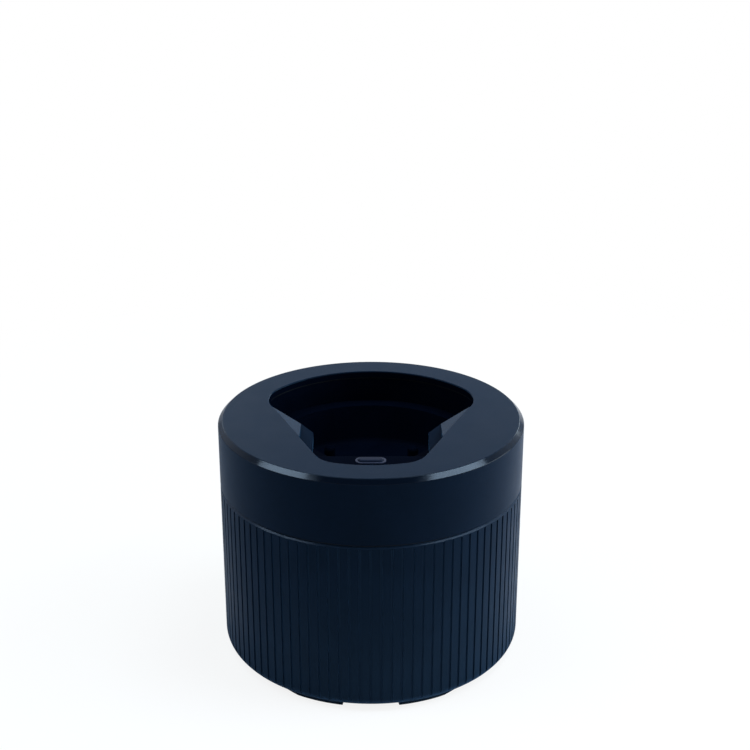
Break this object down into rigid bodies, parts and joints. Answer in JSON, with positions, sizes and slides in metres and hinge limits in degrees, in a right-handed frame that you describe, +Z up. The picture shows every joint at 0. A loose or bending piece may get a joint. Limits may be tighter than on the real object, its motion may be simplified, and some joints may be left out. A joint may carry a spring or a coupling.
{
  "type": "shaver cleaning station",
  "caption": "Round pod that a rotary shaver stands in head down to be rinsed: ribbed cup, lift-off cap with a rounded-triangle bay, pump, cartridge and power button.",
  "frame": {"origin": "on the surface the feet stand on, under the middle of the round pod", "axes": "+Z up; the power button and the front of the bay face -Y; +X is to the right seen from the front"},
  "size_m": [0.108, 0.108, 0.087],
  "materials": {
    "cover_plastic": "fine matt moulded texture, dark navy",
    "base_plastic": "matt moulded texture with narrow grooves, dark navy",
    "tray_plastic": "polished, near black",
    "button_plastic": "satin",
    "light_ring": "smoked, polished",
    "foot_rubber": "matt",
    "seal_rubber": "matt",
    "cartridge_plastic": "translucent grey polypropylene",
    "filter_felt": "pressed fibre",
    "chassis_plastic": "moulded, charcoal",
    "pump_plastic": "moulded acetal, off white",
    "hose_silicone": "milky silicone",
    "screw_steel": "zinc plated",
    "motor_steel": "drawn steel",
    "boot_silicone": "soft grey silicone",
    "socket_steel": "plated sheet",
    "armature_steel": "laminated core with copper windings",
    "bearing_bronze": "sintered bronze",
    "magnet_ferrite": "ferrite",
    "motor_plastic": "moulded",
    "contact_metal": "nickel-plated strip",
    "battery_wrap": "shrink-wrapped steel can",
    "board_green": "solder mask",
    "chip_black": "moulded epoxy",
    "led_lens": "clear resin",
    "lead_insulation": "soft insulation"
  },
  "bodies": {
    "base": {"base_cup": "base_plastic", "foot_pads": "foot_rubber"},
    "cartridge": {"cartridge_tub": "cartridge_plastic", "cartridge_lid": "cartridge_plastic", "intake_seal": "seal_rubber", "filter_basket": "cartridge_plastic", "cartridge_filter": "filter_felt"},
    "top_unit": {"top_cover": "cover_plastic", "shaver_tray": "tray_plastic", "tray_gasket": "seal_rubber", "drain_grille": "tray_plastic", "spray_nozzle": "tray_plastic", "chassis": "chassis_plastic", "chassis_seal": "seal_rubber", "chassis_screws": "screw_steel", "pump_housing": "pump_plastic", "pump_cover": "pump_plastic", "pump_gasket": "seal_rubber", "pump_screws": "screw_steel", "pump_elbow": "pump_plastic", "delivery_hose": "hose_silicone", "shaft_seal": "seal_rubber", "suction_pipe": "pump_plastic", "suction_strainer": "pump_plastic", "motor_bracket": "chassis_plastic", "bracket_screws": "screw_steel", "motor_can": "motor_steel", "motor_bearing": "bearing_bronze", "motor_magnets": "magnet_ferrite", "motor_end_cap": "motor_plastic", "motor_terminals": "contact_metal", "battery_cell": "battery_wrap", "battery_cradle": "chassis_plastic", "battery_tabs": "contact_metal", "control_board": "board_green", "board_components": "chip_black", "tact_switch": "chip_black", "indicator_leds": "led_lens", "button_light_ring": "light_ring", "board_screws": "screw_steel", "charge_board": "board_green", "charge_socket": "socket_steel", "socket_tongue": "chip_black", "motor_leads": "lead_insulation", "battery_leads": "lead_insulation", "charge_leads": "lead_insulation"},
    "power_button": {"power_button": "button_plastic", "button_boot": "boot_silicone"},
    "pump_rotor": {"motor_shaft": "motor_steel", "motor_armature": "armature_steel", "pump_impeller": "pump_plastic"}
  },
  "joints": [
    {"name": "cap_lift", "type": "slide", "parent": "base", "child": "top_unit", "axis": [0, 0, 1], "range_m": [0, 0.12]},
    {"name": "cartridge_lift", "type": "slide", "parent": "base", "child": "cartridge", "axis": [0, 0, 1], "range_m": [0, 0.06]},
    {"name": "button_press", "type": "slide", "parent": "top_unit", "child": "power_button", "axis": [0, 0, -1], "range_m": [0, 0.0008], "stiffness_N_per_m": 400, "deforming": ["button_boot"]},
    {"name": "pump_spin", "type": "hinge", "parent": "top_unit", "child": "pump_rotor", "pos_m": [-0.03759, -0.01481, 0.048], "axis": [0, 0, 1], "continuous": true}
  ],
  "couplings": [
    {"joint": "cartridge_lift", "follows": "cap_lift", "ratio": 0.5}
  ]
}
